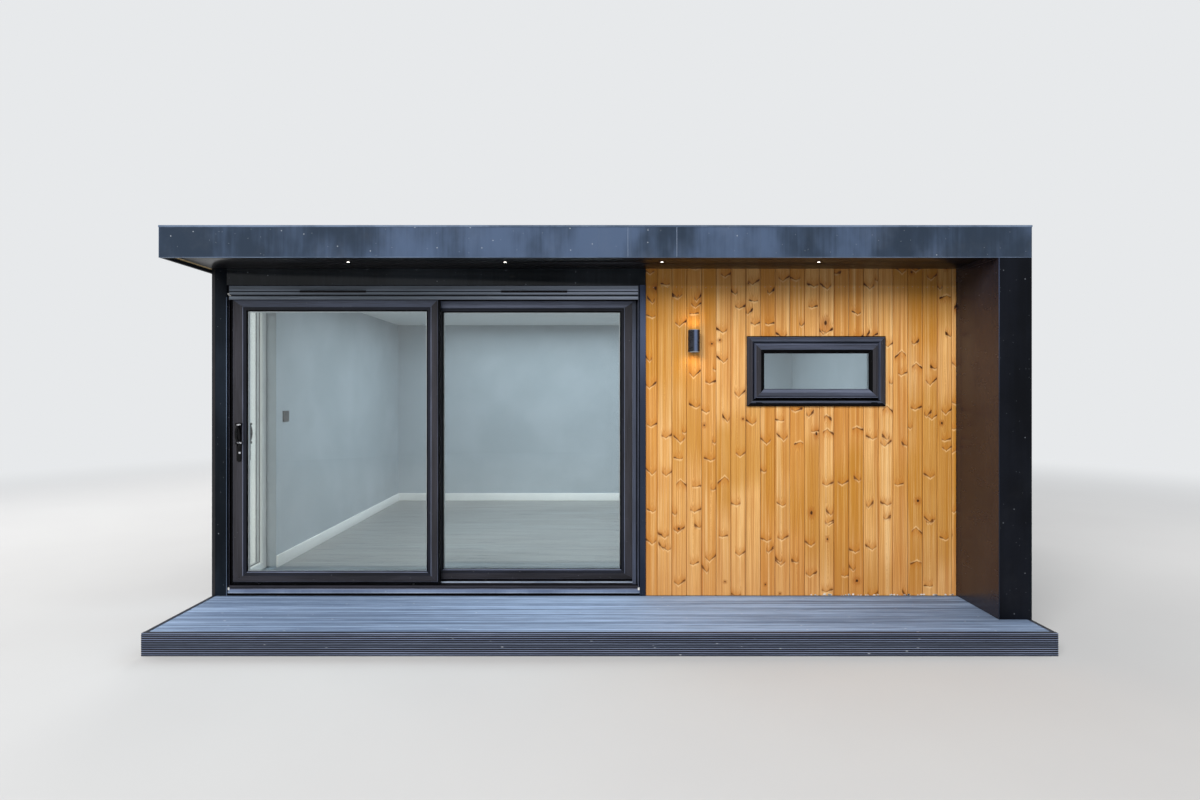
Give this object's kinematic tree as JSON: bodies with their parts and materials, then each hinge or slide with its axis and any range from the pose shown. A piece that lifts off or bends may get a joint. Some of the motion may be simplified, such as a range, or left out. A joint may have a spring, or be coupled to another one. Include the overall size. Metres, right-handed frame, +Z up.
{
  "type": "garden office pod",
  "caption": "Flat-roofed insulated garden office with a sliding patio door, timber-clad front, canopy with wing wall, and front deck.",
  "frame": {"origin": "ground level, under the middle of the bounding box", "axes": "+Z up, -Y out of the front with the door and deck, +X to the right seen from the front"},
  "size_m": [5.25, 4.525, 2.5],
  "materials": {
    "cladding_timber": "oiled softwood boards with knots",
    "dark_panel": "satin anthracite coated sheet",
    "head_gloss": "gloss black sheet",
    "frame_foil": "dark wood-grained foil on plastic profiles, white inside",
    "glass": "clear sealed glass units",
    "deck_composite": "grooved grey-blue composite",
    "wall_lining": "white painted lining over an insulated timber core",
    "white_trim": "white satin paint",
    "laminate": "grey-brown laminate boards",
    "structure_timber": "treated structural softwood",
    "eaves_timber": "pale planed softwood",
    "roof_insulation": "insulated roof boarding",
    "membrane": "black rubber sheet",
    "lamp_metal": "satin black",
    "handle_metal": "gloss black",
    "steel": "plain steel",
    "aluminium_sill": "dark anodised",
    "fitting_plastic": "black moulded plastic"
  },
  "bodies": {
    "pod": {"base_frame": "structure_timber", "floor_panel": "structure_timber", "laminate_floor": "laminate", "left_wall": "wall_lining", "right_wall": "wall_lining", "back_wall": "wall_lining", "front_wall": "wall_lining", "door_lintel": "wall_lining", "corner_post": "dark_panel", "wing_wall": "dark_panel", "front_cladding": "cladding_timber", "side_cladding": "dark_panel", "door_head_panel": "head_gloss", "door_cover_strip": "dark_panel", "soffit": "dark_panel", "downlights": "steel", "eaves_strips": "eaves_timber", "ceiling": "white_trim", "roof_panel": "roof_insulation", "roof_membrane": "membrane", "fascia_front": "dark_panel", "fascia_sides": "dark_panel", "fascia_back": "dark_panel", "roof_edge_trim": "dark_panel", "deck_boards": "deck_composite", "deck_fascia": "deck_composite", "door_jambs": "frame_foil", "door_head": "frame_foil", "door_threshold": "aluminium_sill", "trickle_vents": "frame_foil", "fixed_sash": "frame_foil", "fixed_glass": "glass", "side_window_frame": "frame_foil", "side_window_glass": "glass", "window_frame": "frame_foil", "window_sash": "frame_foil", "window_glass": "glass", "wall_light": "lamp_metal", "skirting": "white_trim", "light_switch": "fitting_plastic", "rear_gutter": "fitting_plastic"},
    "sliding_door": {"sliding_sash": "frame_foil", "sliding_glass": "glass", "sash_rollers": "steel", "door_handles": "handle_metal"}
  },
  "joints": [
    {"name": "patio_door_slide", "type": "slide", "parent": "pod", "child": "sliding_door", "axis": [1, 0, 0], "range_m": [0, 1.2]}
  ]
}
